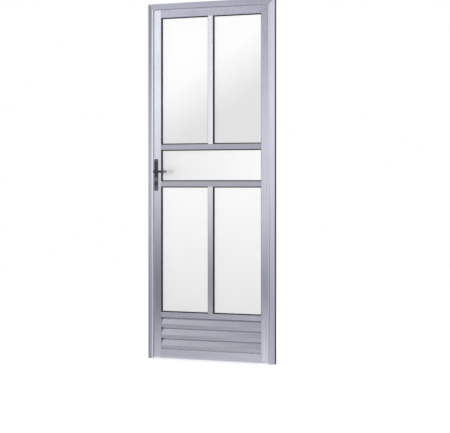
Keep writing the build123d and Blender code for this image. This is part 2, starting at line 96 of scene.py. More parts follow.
def ramp(tree, source, stops, place=(0, 0), interpolation="EASE"):
    """A colour ramp of grey or coloured stops, each given as (position, colour)."""
    made = node(tree, "ShaderNodeValToRGB", place)
    band = made.color_ramp
    band.interpolation = interpolation
    while len(band.elements) < len(stops):
        band.elements.new(0.5)
    for element, (position, colour) in zip(band.elements, stops):
        element.position = position
        element.color = (*colour, 1) if isinstance(colour, tuple) else (colour, colour, colour, 1)
    tree.links.new(source, made.inputs["Fac"])
    return made.outputs["Color"]


def blend_colours(tree, first, second, factor, place=(0, 0), how="MIX"):
    """A colour Mix node whose inputs are sockets, colours or a number."""
    made = node(tree, "ShaderNodeMix", place, data_type="RGBA", blend_type=how)
    for socket, source in ((made.inputs[0], factor), (made.inputs[6], first), (made.inputs[7], second)):
        if isinstance(source, bpy.types.NodeSocket):
            tree.links.new(source, socket)
        else:
            socket.default_value = (*source, 1) if isinstance(source, tuple) else source
    return made.outputs[2]


def mix_shaders(tree, factor, first, second, place):
    """A shader that gives way from the first to the second by a factor."""
    made = node(tree, "ShaderNodeMixShader", place)
    for socket, source in zip(made.inputs, (factor, first.outputs[0], second.outputs[0])):
        tree.links.new(source, socket)
    return made


def fade_between(tree, source, start, end, place=(0, 0)):
    """0 up to start, 1 from end on, and a straight slope between. The end may lie below the start."""
    return maths(tree, "MULTIPLY_ADD", source, 1 / (end - start), -start / (end - start), place, clamp=True)


def wall_of_tent(tree, rise, levels, place):
    """A wall's brightness against how a ray rises, from levels given as (rise, brightness)."""
    spot = maths(tree, "MULTIPLY_ADD", rise, 0.5, 0.5, (place[0] - 200, place[1]))
    return ramp(tree, spot, [(at * 0.5 + 0.5, level) for at, level in levels], place, "LINEAR")


# Each wall of the tent: its brightness from straight down (-1) to straight up (1). They stand from
# left to right as the door sees them, and each gives way to the next over a turn in how far across
# a ray heads.
side_wall = [
    (-1.0, 0.50), (-0.30, 0.50), (-0.13, 0.40), (-0.10, 0.36), (-0.06, 0.40), (-0.02, 0.60), (0.02, 0.64),
    (0.06, 0.52), (0.12, 0.36), (0.20, 0.35), (0.50, 0.50), (1.0, 0.50),
]
latch_wall = [
    (-1.0, 0.60), (-0.30, 0.75), (-0.16, 0.78), (-0.125, 0.68), (-0.10, 0.30), (-0.083, 0.20), (-0.055, 0.30),
    (-0.016, 0.66), (0.025, 0.98), (0.058, 1.12), (0.12, 1.20), (0.20, 1.0), (0.30, 0.82), (0.50, 0.86),
    (1.0, 0.70),
]
hinge_wall = [
    (-1.0, 0.60), (-0.30, 0.70), (-0.16, 0.80), (-0.121, 0.95), (-0.099, 0.62), (-0.08, 0.28), (-0.044, 0.70),
    (-0.0155, 0.82), (0.019, 0.80), (0.07, 0.52), (0.12, 0.25), (0.20, 0.30), (0.40, 0.50), (1.0, 0.50),
]
right_wall = [
    (-1.0, 0.60), (-0.30, 0.70), (-0.13, 0.60), (-0.10, 0.48), (-0.055, 0.62), (0.0, 0.86), (0.06, 0.95),
    (0.12, 0.86), (0.30, 0.62), (1.0, 0.50),
]
back_wall = [
    (-1.0, 0.60), (-0.50, 0.75), (-0.36, 1.0), (-0.27, 0.85), (-0.15, 0.48), (-0.07, 0.36), (0.0, 0.62),
    (0.07, 1.0), (0.20, 1.1), (0.50, 0.80), (1.0, 0.60),
]
turns = ((latch_wall, -0.60, -0.52), (hinge_wall, -0.384, -0.364), (right_wall, -0.32, -0.20))
behind_turn = (-0.125, 0.125)

# The flag hangs square to its heading: it fades in as a ray comes near that heading, and out as the
# ray leaves level
flag_heading = (0.39, 0.92)
flag_sides = (0.95455, 0.98485)
flag_top = (0.25, 0.1591)
flag_cloth = (0.08, 0.08, 0.08)

# The tent's dim parts are bluer than its bright ones
dim_wall, bright_wall = 0.35, 0.9056
dim_tint, bright_tint = (0.98, 0.975, 1.11), (0.99, 1.0, 1.03)

world = bpy.data.worlds.new("studio")
world.use_nodes = True
bpy.context.scene.world = world
tent = world.node_tree
tent.nodes.clear()
ray = node(tent, "ShaderNodeSeparateXYZ", (-1700, 0))
tent.links.new(node(tent, "ShaderNodeTexCoord", (-1900, 0)).outputs["Generated"], ray.inputs[0])
across, forward, rise = ray.outputs
front_walls = wall_of_tent(tent, rise, side_wall, (-1000, 600))
for levels, turn_start, turn_end in turns:
    turn = fade_between(tent, across, turn_start, turn_end)
    next_wall = wall_of_tent(tent, rise, levels, (-1000, 0))
    front_walls = blend_colours(tent, front_walls, next_wall, turn, (-600, 200))
to_flag = maths(tent, "MULTIPLY", forward, flag_heading[1])
to_flag = maths(tent, "MULTIPLY_ADD", across, flag_heading[0], to_flag)
flag_width = fade_between(tent, to_flag, *flag_sides, (-1000, -800))
flag_height = fade_between(tent, maths(tent, "ABSOLUTE", rise), *flag_top, (-1000, -1000))
flag = maths(tent, "MULTIPLY", flag_width, flag_height, place=(-800, -900))
back_walls = wall_of_tent(tent, rise, back_wall, (-1000, -1200))
back_walls = blend_colours(tent, back_walls, flag_cloth, flag, (-600, -900))
behind = fade_between(tent, forward, *behind_turn, (-600, -1200))
mirrored = blend_colours(tent, front_walls, back_walls, behind, (-200, 0))
grey = node(tent, "ShaderNodeRGBToBW", (0, -200))
tent.links.new(mirrored, grey.inputs[0])
brightness = fade_between(tent, grey.outputs[0], dim_wall, bright_wall, (100, -200))
tint = blend_colours(tent, dim_tint, bright_tint, brightness, (300, -200))
mirrored = blend_colours(tent, mirrored, tint, 1.0, (500, -100), "MULTIPLY")

tent_paths = node(tent, "ShaderNodeLightPath", (0, 500))
soft_light = node(tent, "ShaderNodeBackground", (200, 200), Color=(0.94, 0.96, 1.0, 1), Strength=0.55)
tent_walls = node(tent, "ShaderNodeBackground", (200, 0), Strength=1.0)
tent.links.new(mirrored, tent_walls.inputs["Color"])
white = node(tent, "ShaderNodeBackground", (200, -200), Color=(1, 1, 1, 1), Strength=1.0)
light_or_walls = mix_shaders(tent, tent_paths.outputs["Is Glossy Ray"], soft_light, tent_walls, (450, 100))
looked_at = maths(
    tent, "MAXIMUM", tent_paths.outputs["Is Camera Ray"], tent_paths.outputs["Is Transmission Ray"]
)
whole_tent = mix_shaders(tent, looked_at, light_or_walls, white, (650, 0))
tent.links.new(whole_tent.outputs[0], node(tent, "ShaderNodeOutputWorld", (850, 0)).inputs[0])

# Studio floor
# A matt white disc that runs out into the white of the tent and keeps the door's soft shadow. Metal
# looks past it to the tent's lower walls, as it would in a studio whose floor is small.


def skin_faces(rows, columns, close_rows, close_columns):
    """Quads over a rows by columns grid of points, joined round in either direction where it closes."""
    row_steps = np.arange(rows if close_rows else rows - 1)
    column_steps = np.arange(columns if close_columns else columns - 1)
    row, column = np.meshgrid(row_steps, column_steps, indexing="ij")
    here, below, after = row * columns, (row + 1) % rows * columns, (column + 1) % columns
    return np.stack((here + column, here + after, below + after, below + column), axis=-1).reshape(-1, 4)


def mesh_piece(name, points, faces, material, smooth=True):
    """A mesh object at the origin from an array of points and a list of faces."""
    mesh = bpy.data.meshes.new(name)
    mesh.from_pydata(points.reshape(-1, 3).tolist(), [], faces)
    mesh.polygons.foreach_set("use_smooth", np.full(len(mesh.polygons), smooth))
    mesh.update()
    made = bpy.data.objects.new(name, mesh)
    bpy.context.collection.objects.link(made)
    mesh.materials.append(material)
    return made


floor_radius = 9.0
floor_rings = 8
floor_sides = 64
floor_middle = 0.01

# The floor's own light, by the distance from the hinge jamb as a share of the radius: more where the
# lamps no longer reach
floor_levels = [(0.0, 0.42), (0.22, 0.45), (0.55, 0.54), (1.0, 0.60)]
floor_material = bpy.data.materials.new("white_floor")
floor_material.use_nodes = True
floor_tree = floor_material.node_tree
floor_tree.nodes.clear()
floor_matt = node(floor_tree, "ShaderNodeBsdfDiffuse", (0, 0), Color=(0.8, 0.8, 0.8, 1))
floor_glow = node(floor_tree, "ShaderNodeEmission", (0, -150), Color=(1, 1, 1, 1))
floor_paths = node(floor_tree, "ShaderNodeLightPath", (-400, -150))
floor_seen = maths(
    floor_tree, "MAXIMUM", floor_paths.outputs["Is Camera Ray"], floor_paths.outputs["Is Transmission Ray"]
)
floor_spot = node(floor_tree, "ShaderNodeVectorMath", (-900, -400), operation="LENGTH")
floor_place = node(floor_tree, "ShaderNodeTexCoord", (-1100, -400)).outputs["Object"]
floor_tree.links.new(floor_place, floor_spot.inputs[0])
floor_share = maths(floor_tree, "DIVIDE", floor_spot.outputs["Value"], floor_radius, place=(-750, -400))
floor_level = ramp(floor_tree, floor_share, floor_levels, (-600, -400), "LINEAR")
floor_tree.links.new(maths(floor_tree, "MULTIPLY", floor_seen, floor_level), floor_glow.inputs["Strength"])
floor_sum = node(floor_tree, "ShaderNodeAddShader", (250, 0))
floor_tree.links.new(floor_matt.outputs[0], floor_sum.inputs[0])
floor_tree.links.new(floor_glow.outputs[0], floor_sum.inputs[1])
floor_clear = node(floor_tree, "ShaderNodeBsdfTransparent", (250, -200))
floor_mix = mix_shaders(floor_tree, floor_paths.outputs["Is Glossy Ray"], floor_sum, floor_clear, (450, 0))
floor_tree.links.new(floor_mix.outputs[0], node(floor_tree, "ShaderNodeOutputMaterial", (650, 0)).inputs[0])

# The floor is a disc: at radius r and angle a lies the point (door's middle + r * cos a, r * sin a, 0)
disc_radius, disc_angle = np.meshgrid(
    np.linspace(floor_middle, floor_radius, floor_rings),
    np.linspace(0, 2 * np.pi, floor_sides, endpoint=False),
    indexing="ij",
)
disc_x = door_middle_x + disc_radius * np.cos(disc_angle)
disc = np.stack((disc_x, disc_radius * np.sin(disc_angle), np.zeros_like(disc_radius)), axis=-1)
disc_faces = skin_faces(floor_rings, floor_sides, False, True)[:, ::-1].tolist()
disc_faces.append(list(range(floor_sides)))
floor = mesh_piece("floor", disc, disc_faces, floor_material)

# Studio lamps
# Two large soft boxes in front and one behind, aimed at the middle of the door and left out of what
# the metal mirrors.


def soft_lamp(name, place, aim, size, power):
    """A square area lamp at a place, turned to a point."""
    data = bpy.data.lights.new(name, "AREA")
    data.size = size
    data.energy = power
    lamp = bpy.data.objects.new(name, data)
    lamp.location = place
    x, y, z = np.array(place) - np.array(aim)
    lamp.rotation_euler = (math.atan2(math.hypot(x, y), z), 0, math.atan2(x, -y))
    lamp.visible_glossy = False
    bpy.context.collection.objects.link(lamp)


lamp_aim = (door_middle_x, 0, 1.0)
soft_lamp("lamp_front_left", (-3.2, -3.4, 3.6), lamp_aim, size=2.4, power=90)
soft_lamp("lamp_front_right", (2.6, -3.0, 2.6), lamp_aim, size=2.0, power=40)
soft_lamp("lamp_back", (2.3, 3.2, 3.2), lamp_aim, size=2.4, power=45)

# Frame: two jambs and a head
# Hollow extruded aluminium with a stop lip along its front, polished and anodised, mitred at the top
# corners. The die leaves fine lines along each length, dirt lies in the mitres, and a paler band of
# painted highlight runs along the crest of the latch jamb's lip.


def new_effect(name, inputs, outputs):
    """A shader node group with named inputs, given as (name, type, value), and named outputs."""
    group = bpy.data.node_groups.new(name, "ShaderNodeTree")
    for label, kind, value in inputs:
        socket = group.interface.new_socket(label, in_out="INPUT", socket_type="NodeSocket" + kind)
        socket.default_value = value
    for label, kind in outputs:
        group.interface.new_socket(label, in_out="OUTPUT", socket_type="NodeSocket" + kind)
    entry = node(group, "NodeGroupInput", (-1400, 0))
    leave = node(group, "NodeGroupOutput", (900, 0))
    return group, entry.outputs, leave.inputs


def texture(tree, kind, place, position, **values):
    """A texture worked out at a position, with its values set by name."""
    made = node(tree, "ShaderNodeTex" + kind, place, **values)
    tree.links.new(position, made.inputs["Vector"])
    return made


die_lines, given, result = new_effect(
    "die_lines",
    [
        ("Position", "Vector", (0, 0, 0)),
        ("Stretch", "Vector", (1, 1, 1)),
        ("Base", "Color", (0.8, 0.8, 0.8, 1)),
        ("Shade", "Color", (0.6, 0.6, 0.6, 1)),
        ("Base Roughness", "Float", 0.2),
        ("Roughness Spread", "Float", 0.1),
    ],
    [("Color", "Color"), ("Roughness", "Float"), ("Height", "Float")],
)
stretched = node(die_lines, "ShaderNodeVectorMath", (-1150, 100), operation="MULTIPLY")
die_lines.links.new(given["Position"], stretched.inputs[0])
die_lines.links.new(given["Stretch"], stretched.inputs[1])
scratch_share, smudge_share, streak_share = 0.28, 0.3, 0.42
fine_height = 0.6
drawn_out = stretched.outputs[0]
streaks = texture(die_lines, "Noise", (-900, 250), drawn_out, Scale=60.0, Detail=3.0, Roughness=0.6)
fine = texture(die_lines, "Noise", (-900, 0), drawn_out, Scale=900.0, Detail=2.0, Roughness=0.5)
clouds = texture(die_lines, "Noise", (-900, -250), given["Position"], Scale=5.0, Detail=3.0, Roughness=0.55)
tone = ramp(die_lines, streaks.outputs["Fac"], [(0.35, 0.0), (0.65, 1.0)], (-650, 250))
smudge = ramp(die_lines, clouds.outputs["Fac"], [(0.35, 0.0), (0.7, 1.0)], (-650, -250))
scratches = ramp(die_lines, fine.outputs["Fac"], [(0.38, 0.0), (0.62, 1.0)], (-650, 0))
shading = maths(die_lines, "MULTIPLY", smudge, smudge_share, place=(-500, -50))
shading = maths(die_lines, "MULTIPLY_ADD", scratches, scratch_share, shading, (-350, -50))
shading = maths(die_lines, "MULTIPLY_ADD", tone, streak_share, shading, (-200, 150))
line_colour = blend_colours(die_lines, given["Base"], given["Shade"], shading, (300, 200))
line_rough = maths(die_lines, "MULTIPLY_ADD", shading, given["Roughness Spread"], given["Base Roughness"])
line_height = maths(die_lines, "MULTIPLY_ADD", fine.outputs["Fac"], fine_height, streaks.outputs["Fac"])
die_lines.links.new(line_colour, result["Color"])
die_lines.links.new(line_rough, result["Roughness"])
die_lines.links.new(line_height, result["Height"])

# Mask near either of two planes, each given by its normal and its offset from the origin: a hairline
# where cut ends meet, or a band of painted highlight along an edge. It falls off over the width
joint_and_highlight_band, given, result = new_effect(
    "joint_and_highlight_band",
    [
        ("Position", "Vector", (0, 0, 0)),
        ("First Normal", "Vector", (1, 0, 0)),
        ("First Offset", "Float", 100.0),
        ("Second Normal", "Vector", (1, 0, 0)),
        ("Second Offset", "Float", 100.0),
        ("Width", "Float", 0.0012),
    ],
    [("Mask", "Float")],
)
plane_gaps = []
for order in ("First", "Second"):
    along_normal = node(joint_and_highlight_band, "ShaderNodeVectorMath", (-1000, 0), operation="DOT_PRODUCT")
    joint_and_highlight_band.links.new(given["Position"], along_normal.inputs[0])
    joint_and_highlight_band.links.new(given[order + " Normal"], along_normal.inputs[1])
    from_plane = maths(joint_and_highlight_band, "SUBTRACT", along_normal.outputs["Value"], given[order + " Offset"])
    plane_gaps.append(maths(joint_and_highlight_band, "ABSOLUTE", from_plane))
near_gap = maths(joint_and_highlight_band, "DIVIDE", maths(joint_and_highlight_band, "MINIMUM", *plane_gaps), given["Width"])
joint_and_highlight_band.links.new(ramp(joint_and_highlight_band, near_gap, [(0.0, 1.0), (1.0, 0.0)], (300, 0)), result["Mask"])

# Dust on what faces up, in soft patches
settled_dust, given, result = new_effect(
    "settled_dust",
    [("Position", "Vector", (0, 0, 0)), ("Facing", "Vector", (0, 0, 1)), ("Amount", "Float", 0.5)],
    [("Mask", "Float")],
)
facing_parts = node(settled_dust, "ShaderNodeSeparateXYZ", (-1000, 0))
settled_dust.links.new(given["Facing"], facing_parts.inputs[0])
flatness = ramp(settled_dust, facing_parts.outputs["Z"], [(0.25, 0.0), (0.9, 1.0)], (-700, 0))
patches = texture(
    settled_dust, "Noise", (-1000, -300), given["Position"], Scale=35.0, Detail=4.0, Roughness=0.6
)
patchy = ramp(settled_dust, patches.outputs["Fac"], [(0.3, 0.35), (0.65, 1.0)], (-700, -300))
settled = maths(settled_dust, "MULTIPLY", maths(settled_dust, "MULTIPLY", flatness, patchy), given["Amount"])
settled_dust.links.new(settled, result["Mask"])


def bare_material(name, **values):
    """A material with one Principled shader whose own sockets hold the values, and its coordinates."""
    material = bpy.data.materials.new(name)
    material.use_nodes = True
    tree = material.node_tree
    shader = tree.nodes["Principled BSDF"]
    for label, value in values.items():
        shader.inputs[label.replace("_", " ")].default_value = value
    position = node(tree, "ShaderNodeTexCoord", (-1300, 0)).outputs["Object"]
    return material, tree, shader, position


def feed_surface(tree, shader, colour, rough, height, strength, distance):
    """Feeds a shader its colour, its roughness unless that is None, and bump from a height."""
    bump = node(tree, "ShaderNodeBump", (-250, -300), Strength=strength, Distance=distance)
    tree.links.new(height, bump.inputs["Height"])
    for label, source in (("Base Color", colour), ("Roughness", rough), ("Normal", bump.outputs["Normal"])):
        if source is not None:
            tree.links.new(source, shader.inputs[label])


def placed_effect(tree, group, place, position, **values):
    """A group in a material, reading the object's coordinates, with its other inputs set by name."""
    effect = node(tree, "ShaderNodeGroup", place, node_tree=group)
    tree.links.new(position, effect.inputs["Position"])
    for label, value in values.items():
        effect.inputs[label.replace("_", " ")].default_value = value
    return effect


joint_dirt = (0.16, 0.16, 0.18)
house_dust = (0.50, 0.49, 0.47)
dust_roughness = 0.35
# The colour of the painted highlight band, and the width over which it falls off
painted_highlight = (0.97, 0.97, 0.97)
highlight_band_width = 0.014
line_stretch = 0.05
cross_grain = 0.03


def drawn_metal(
    name, along, base, shade, roughness, grain,
    joints=(), streak_width=1.5, dust=0.5, relief=0.0006, highlight_x=None,
):
    """Metal with drawn lines along one axis, or with no direction where the axis is empty, dark hairlines
    at its joints, a painted highlight as a brighter upright band where one is given, and dust on what
    faces up."""
    material, tree, shader, position = bare_material(
        name, Metallic=1.0, Anisotropic=grain, Anisotropic_Rotation=0.25
    )
    stretch = tuple(line_stretch if axis == along else streak_width for axis in "XYZ")
    lines = placed_effect(
        tree, die_lines, (-1000, 0), position,
        Stretch=stretch, Base=(*base, 1), Shade=(*shade, 1), Base_Roughness=roughness, Roughness_Spread=0.04,
    )
    colour, rough = lines.outputs["Color"], lines.outputs["Roughness"]
    if joints:
        (first, first_offset), (second, second_offset) = joints
        hairline = placed_effect(
            tree, joint_and_highlight_band, (-1000, 300), position,
            First_Normal=first, First_Offset=first_offset, Second_Normal=second, Second_Offset=second_offset,
        )
        colour = blend_colours(tree, colour, joint_dirt, hairline.outputs["Mask"], (-600, 100))
    # A brighter upright band at the given x: painted highlight
    if highlight_x is not None:
        highlight_band = placed_effect(
            tree, joint_and_highlight_band, (-1000, 600), position, First_Offset=highlight_x, Width=highlight_band_width
        )
        colour = blend_colours(tree, colour, painted_highlight, highlight_band.outputs["Mask"], (-600, 300))
    dust_and_shade_layer = placed_effect(tree, settled_dust, (-1000, -300), position, Amount=dust)
    facing = node(tree, "ShaderNodeNewGeometry", (-1300, -300)).outputs["Normal"]
    tree.links.new(facing, dust_and_shade_layer.inputs["Facing"])
    colour = blend_colours(tree, colour, house_dust, dust_and_shade_layer.outputs["Mask"], (-400, 100))
    rough = maths(tree, "MULTIPLY_ADD", dust_and_shade_layer.outputs["Mask"], dust_roughness, rough, (-400, -100), clamp=True)
    feed_surface(tree, shader, colour, rough, lines.outputs["Height"], strength=0.12, distance=relief)
    heading = {axis: 1.0 if axis == along else cross_grain for axis in "XYZ"}
    grain_way = node(tree, "ShaderNodeCombineXYZ", (-200, -500), **heading).outputs[0]
    tree.links.new(grain_way, shader.inputs["Tangent"])
    return material


def finish_nodes(material, *names):
    """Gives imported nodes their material."""
    for name in names:
        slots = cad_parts[name].data.materials
        slots.clear()
        slots.append(material)


polished = (0.77, 0.785, 0.84)
polished_shade = (0.69, 0.705, 0.77)
# The painted highlight runs along the crest of the latch jamb's lip
lip_crest_x = head_low[0] + 0.027
diagonal = math.sqrt(0.5)
latch_mitre = ((diagonal, 0, diagonal), (head_low[0] + head_high[2]) * diagonal)
hinge_mitre = ((-diagonal, 0, diagonal), (head_high[2] - head_high[0]) * diagonal)
latch_jamb_metal = drawn_metal(
    "latch_jamb_metal", "Z", polished, polished_shade, roughness=0.10, grain=0.55,
    joints=(latch_mitre, latch_mitre), highlight_x=lip_crest_x,
)
hinge_jamb_metal = drawn_metal(
    "hinge_jamb_metal", "Z", polished, polished_shade, roughness=0.10, grain=0.55,
    joints=(hinge_mitre, hinge_mitre),
)
# The head is the jambs' aluminium with its colour darkened as painted shade
frame_head_painted_shade = drawn_metal(
    "frame_head_painted_shade", "X", (0.66, 0.67, 0.74), (0.59, 0.60, 0.67), roughness=0.28, grain=0.7,
    joints=(latch_mitre, hinge_mitre),
)
finish_nodes(latch_jamb_metal, "latch_jamb")
finish_nodes(hinge_jamb_metal, "hinge_jamb")
finish_nodes(frame_head_painted_shade, "frame_head")

# Jamb screw caps
# Grey nylon caps pressed into the access holes that the frame screws were driven through, four on
# the inner face of each jamb, behind the leaf's edges.


def round_copies(pole_behind, rings, pole_in_front, centres):
    """Closed round forms, one at each centre: a grid of rings of points, with a pole at either end."""
    ring_count, sides = rings.shape[:2]
    points = np.concatenate(([pole_behind], rings.reshape(-1, 3), [pole_in_front]))
    here = np.arange(sides)
    after = (here + 1) % sides
    last_ring = 1 + (ring_count - 1) * sides
    behind_fan = np.stack((np.zeros(sides, int), after + 1, here + 1), axis=-1)
    front_fan = np.stack((np.full(sides, len(points) - 1), here + last_ring, after + last_ring), axis=-1)
    skin = skin_faces(ring_count, sides, False, True) + 1
    centres = np.array(centres, float).reshape(-1, 1, 3)
    faces = []
    for copy in range(len(centres)):
        for group in (behind_fan, skin, front_fan):
            faces += (group + copy * len(points)).tolist()
    return centres + points, faces


def turned(profile, centres, outward, sides=40):
    """Turned forms, one at each centre. A profile point (radius, rise) lies, at angle a round the axis,
    at centre + rise * outward + radius * (cos a * side + sin a * up). The first and last points are
    the poles, behind and in front."""
    outward, up = np.array(outward, float), np.array((0.0, 0.0, 1.0))
    radius, rise = np.array(profile, float).T[:, :, None, None]
    angle = np.linspace(0, 2 * np.pi, sides, endpoint=False)[:, None]
    form = rise * outward + radius * (np.cos(angle) * np.cross(up, outward) + np.sin(angle) * up)
    return round_copies(form[0, 0], form[1:-1], form[-1, 0], centres)


cap_radius = 0.0072
cap_rise = 0.0009
cap_heights = (0.15, 0.75, 1.35, 1.95)
jamb_tube = 0.022
cap_profile = [
    (0.0, -0.0004), (0.0056, -0.0004), (cap_radius, 0.0), (cap_radius, 0.0003), (0.0067, 0.00065),
    (0.0058, 0.0007), (0.0050, 0.0006), (0.0042, 0.00078), (0.0025, cap_rise), (0.0, cap_rise),
]
nylon_grey = [(0.3, (0.42, 0.43, 0.46)), (0.7, (0.50, 0.51, 0.54))]
nylon, nylon_tree, nylon_shader, nylon_position = bare_material(
    "grey_nylon", Roughness=0.45, Specular_IOR_Level=0.4, Subsurface_Weight=0.05
)
nylon_grain = texture(nylon_tree, "Noise", (-900, 0), nylon_position, Scale=420.0, Detail=3.0)
nylon_colour = ramp(nylon_tree, nylon_grain.outputs["Fac"], nylon_grey, (-600, 0))
feed_surface(
    nylon_tree, nylon_shader, nylon_colour, None, nylon_grain.outputs["Fac"], strength=0.2, distance=0.0002
)
for side, wall_x, outward in (
    ("latch", head_low[0] + jamb_tube, (1, 0, 0)),
    ("hinge", head_high[0] - jamb_tube, (-1, 0, 0)),
):
    cap_places = [(wall_x, 0, height) for height in cap_heights]
    caps = mesh_piece(side + "_jamb_caps", *turned(cap_profile, cap_places, outward), nylon)
    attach(caps, "frame")

# Seals and gaskets
# Rubber: grey half-rounds behind the lip of the frame, and flat black strips each side of every pane.
# Mould bloom mottles it a little and dust sticks to it.


def moulded_rubber(name, dark, bloomed):
    """Matt rubber mottled between two colours, with a fine grain."""
    material, tree, shader, position = bare_material(name, Specular_IOR_Level=0.35)
    bloom = texture(tree, "Noise", (-1000, 0), position, Scale=70.0, Detail=5.0, Roughness=0.65)
    grain = texture(tree, "Noise", (-1000, -500), position, Scale=1500.0, Detail=2.0)
    colour = ramp(tree, bloom.outputs["Fac"], [(0.3, dark), (0.7, bloomed)], (-600, 0))
    rough = ramp(tree, bloom.outputs["Fac"], [(0.3, 0.5), (0.7, 0.72)], (-600, -300))
    feed_surface(tree, shader, colour, rough, grain.outputs["Fac"], strength=0.25, distance=0.0002)
    return material


rubber = moulded_rubber("black_rubber", dark=(0.010, 0.010, 0.012), bloomed=(0.022, 0.022, 0.026))
grey_rubber = moulded_rubber("grey_rubber", dark=(0.44, 0.44, 0.46), bloomed=(0.52, 0.52, 0.54))
finish_nodes(rubber, "front_gaskets", "back_gaskets")
finish_nodes(grey_rubber, "stop_seals")

# Strike plate and its screws
# Brushed stainless strip on the inner face of the latch jamb, where the bolts shoot, held by two
# raised countersunk screws.
screw_rings = np.array((1.0, 1.0, 0.97, 0.88, 0.76, 0.64, 0.54, 0.44, 0.34, 0.24, 0.14))
screw_sides = 32
seat_depth = 0.0003
head_edge = 0.15
arm_width, arm_reach, arm_slope, arm_depth = 0.13, 0.62, 0.08, 0.75


def screws(name, centres, outward, radius, dome, body, material, turn=0.5):
    """Cross-recessed screw heads. At share r of the radius and angle a, a head stands above its seat by
    dome * (1 + edge - r ** 2 - depth * recess), where the recess is 1 near either arm of the cross and
    falls to 0 over a short slope. The outermost ring is let into the seat."""
    outward, up = np.array(outward, float), np.array((0.0, 0.0, 1.0))
    side = np.cross(up, outward)
    angle = np.linspace(0, 2 * np.pi, screw_sides, endpoint=False)
    r, a = np.meshgrid(screw_rings, angle, indexing="ij")
    arm_a, arm_b = np.abs(r * np.cos(a - turn)), np.abs(r * np.sin(a - turn))
    past_width = np.maximum(np.minimum(arm_a, arm_b) - arm_width, 0)
    past_reach = np.maximum(np.maximum(arm_a, arm_b) - arm_reach, 0)
    recess = np.clip(1 - (past_width + past_reach) / arm_slope, 0, 1)
    rise = dome * (1 + head_edge - r**2 - arm_depth * recess)
    rise[0] = -seat_depth
    rise[1] = 0.0
    lift = rise[..., None] * outward
    form = lift + radius * r[..., None] * (np.cos(a)[..., None] * side + np.sin(a)[..., None] * up)
    middle = dome * (1 + head_edge - arm_depth)
    made = mesh_piece(name, *round_copies(-seat_depth * outward, form, middle * outward, centres), material)
    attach(made, body)


brushed_steel = drawn_metal(
    "brushed_steel", "Z", (0.56, 0.56, 0.57), (0.42, 0.42, 0.44), roughness=0.26, grain=0.5,
    streak_width=8.0, relief=0.0003,
)
screw_steel = drawn_metal(
    "screw_steel", "", (0.62, 0.61, 0.58), (0.40, 0.39, 0.38), roughness=0.30, grain=0.0, streak_width=30.0
)
finish_nodes(brushed_steel, "strike_plate", "mortise_lock", "spindle")
strike_low, strike_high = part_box("strike_plate")
strike_screw_inset = 0.009
strike_middle_y = (strike_low[1] + strike_high[1]) / 2
strike_screw_heights = (strike_low[2] + strike_screw_inset, strike_high[2] - strike_screw_inset)
screws(
    "strike_screws", [(strike_high[0], strike_middle_y, z) for z in strike_screw_heights], (1, 0, 0),
    radius=0.0036, dome=0.0005, body="frame", material=screw_steel,
)

# Leaf bars
# Hollow extrusions of the same polished aluminium: two full-height stiles, and between them rails and
# mullions with coped ends. The rails are coloured darker than the stiles as painted shade, and the
# mullions paler as painted light, each in a tone of its own.
leaf_latch_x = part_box("latch_stile")[0][0]
leaf_hinge_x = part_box("hinge_stile")[1][0]
stile_face = 0.054
rail_ends = (((1, 0, 0), leaf_latch_x + stile_face), ((1, 0, 0), leaf_hinge_x - stile_face))
leaf_upright = drawn_metal("leaf_upright", "Z", polished, polished_shade, roughness=0.09, grain=0.55)
mullion_painted_light = drawn_metal(
    "mullion_painted_light", "Z", (0.92, 0.915, 0.925), (0.84, 0.835, 0.85), roughness=0.09, grain=0.55
)
finish_nodes(leaf_upright, "latch_stile", "hinge_stile")
finish_nodes(mullion_painted_light, "upper_mullion", "lower_mullion")
cross_rails = ["upper_cross_rail", "lower_cross_rail"]
for name, base, shade, roughness, grain, rails in (
    ("top_rail_painted_shade", (0.70, 0.71, 0.78), (0.62, 0.63, 0.70), 0.26, 0.7, ["top_rail"]),
    ("cross_rail_painted_shade", (0.61, 0.615, 0.67), (0.55, 0.555, 0.61), 0.30, 0.7, cross_rails),
    ("bottom_rail_painted_shade", (0.72, 0.73, 0.79), (0.64, 0.65, 0.71), 0.14, 0.5, ["bottom_rail"]),
    ("louvre_rail_painted_shade", (0.65, 0.655, 0.71), (0.58, 0.585, 0.64), 0.14, 0.5, ["louvre_head_rail"]),
):
    finish_nodes(drawn_metal(name, "X", base, shade, roughness, grain, joints=rail_ends), *rails)

# Bar screws
# Self-tapping steel screws, driven through the outer edges of the stiles into the ends of the rails:
# two for each outer rail and one for the others. The lock leaves no room for the one beside it.


def rail_middle(name):
    """The height of the middle of a packed rail."""
    return sum(corner[2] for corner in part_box(name)) / 2


bar_screw_spread = 0.012
bar_screw_y = 0.004
latch_edge_heights = []
for name in ("top_rail", "bottom_rail"):
    latch_edge_heights += [rail_middle(name) - bar_screw_spread, rail_middle(name) + bar_screw_spread]
latch_edge_heights += [rail_middle("upper_cross_rail"), rail_middle("louvre_head_rail")]
hinge_edge_heights = latch_edge_heights + [rail_middle("lower_cross_rail")]
for name, edge_x, heights, outward, turn in (
    ("latch_edge_screws", leaf_latch_x, latch_edge_heights, (-1, 0, 0), 0.4),
    ("hinge_edge_screws", leaf_hinge_x, hinge_edge_heights, (1, 0, 0), 1.1),
):
    screws(
        name, [(edge_x, bar_screw_y, z) for z in heights], outward,
        radius=0.0036, dome=0.0006, body="leaf", material=screw_steel, turn=turn,
    )

